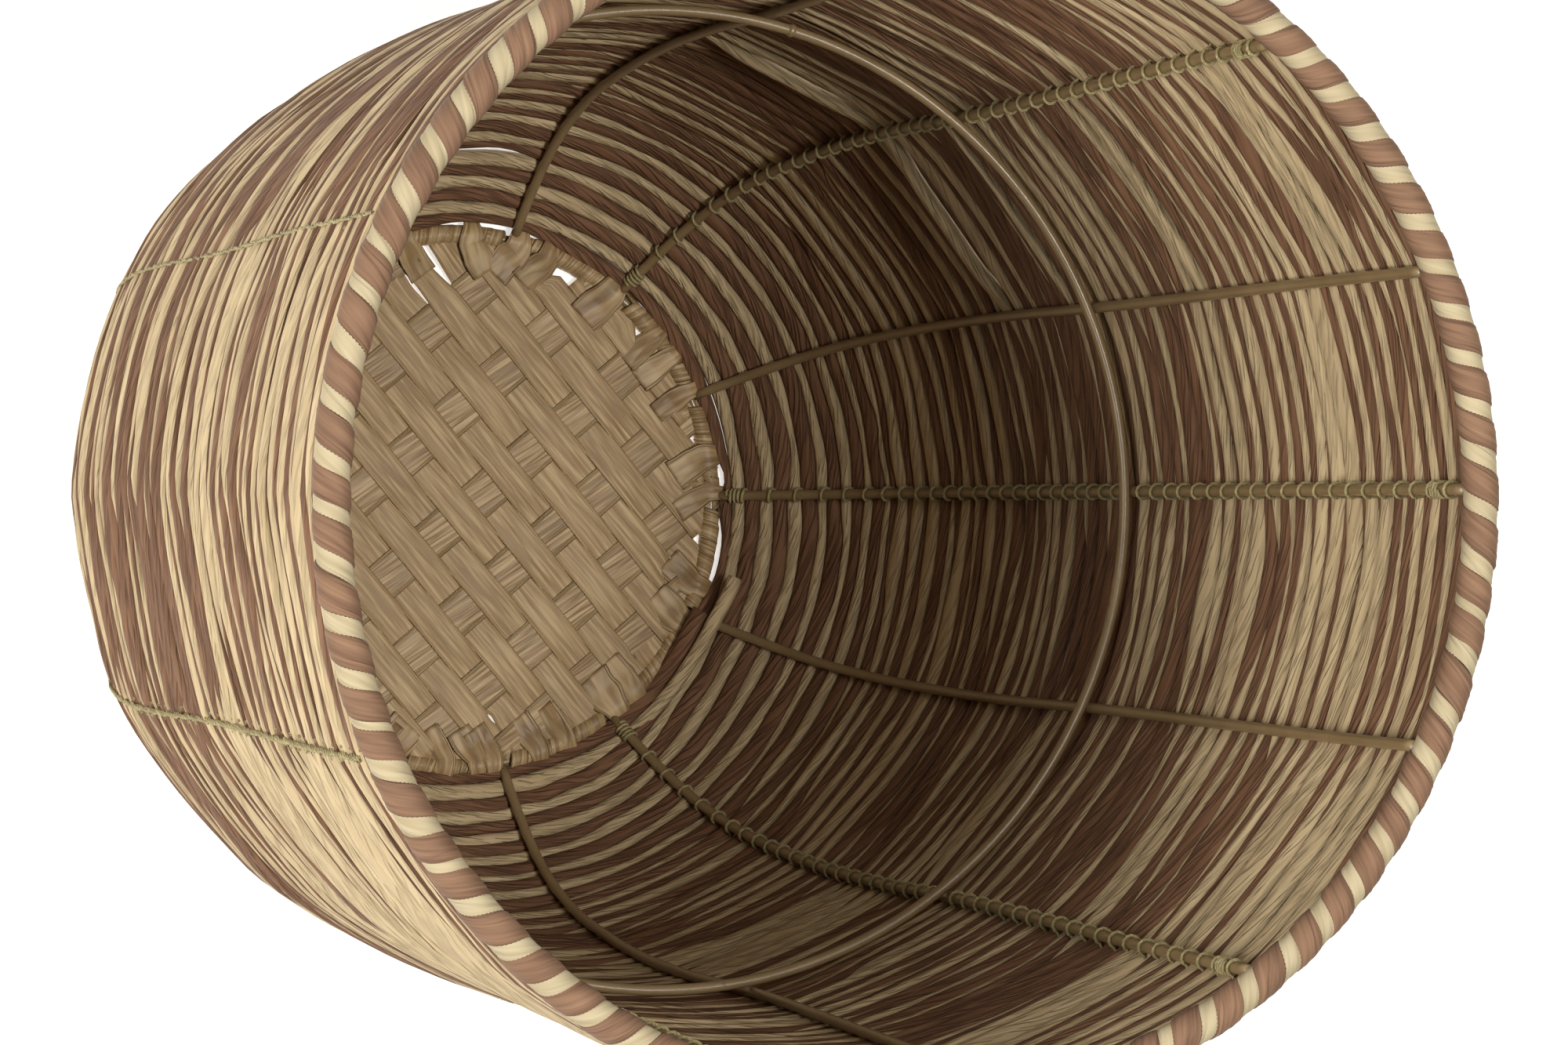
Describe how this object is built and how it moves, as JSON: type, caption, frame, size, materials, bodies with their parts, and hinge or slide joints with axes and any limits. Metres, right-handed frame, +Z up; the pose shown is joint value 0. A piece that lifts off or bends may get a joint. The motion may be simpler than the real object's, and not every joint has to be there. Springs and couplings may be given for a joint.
{
  "type": "planter basket",
  "caption": "Round open planter basket, bellied at the foot, two-tone strand winding over a welded rod frame, wrapped rim and woven strip floor.",
  "frame": {"origin": "centre of the footprint, on the surface that the basket stands on", "axes": "+Z up through the open mouth; +X towards the first lashed rib"},
  "size_m": [0.3925, 0.3922, 0.5575],
  "materials": {
    "rod": "olive brown satin paint",
    "winding": "two twisted fibre strands side by side, one cream and one brown, matt",
    "rim": "cream and brown twisted fibre strands wound as a spiral, matt",
    "strip": "golden tan flat fibre strip with a soft sheen",
    "thread": "olive twisted thread, matt"
  },
  "bodies": {
    "root": {"base_binding": "strip", "base_ring": "rod", "floor_warp_01": "strip", "floor_warp_02": "strip", "floor_warp_03": "strip", "floor_warp_04": "strip", "floor_warp_05": "strip", "floor_warp_06": "strip", "floor_warp_07": "strip", "floor_warp_08": "strip", "floor_warp_09": "strip", "floor_warp_10": "strip", "floor_warp_11": "strip", "floor_warp_12": "strip", "floor_warp_13": "strip", "floor_warp_14": "strip", "floor_warp_15": "strip", "floor_warp_16": "strip", "floor_weft_1": "strip", "floor_weft_2": "strip", "floor_weft_3": "strip", "floor_weft_4": "strip", "floor_weft_5": "strip", "floor_weft_6": "strip", "floor_weft_7": "strip", "lashing_01": "thread", "lashing_03": "thread", "lashing_05": "thread", "lashing_07": "thread", "lashing_09": "thread", "lashing_11": "thread", "lashing_13": "thread", "mid_hoop": "rod", "rib_01": "rod", "rib_02": "rod", "rib_03": "rod", "rib_04": "rod", "rib_05": "rod", "rib_06": "rod", "rib_07": "rod", "rib_08": "rod", "rib_09": "rod", "rib_10": "rod", "rib_11": "rod", "rib_12": "rod", "rib_13": "rod", "rib_14": "rod", "rim_wrap": "rim", "top_ring": "rod", "wall_winding_belly": "winding", "wall_winding_foot": "winding", "wall_winding_upper": "winding"}
  },
  "joints": []
}
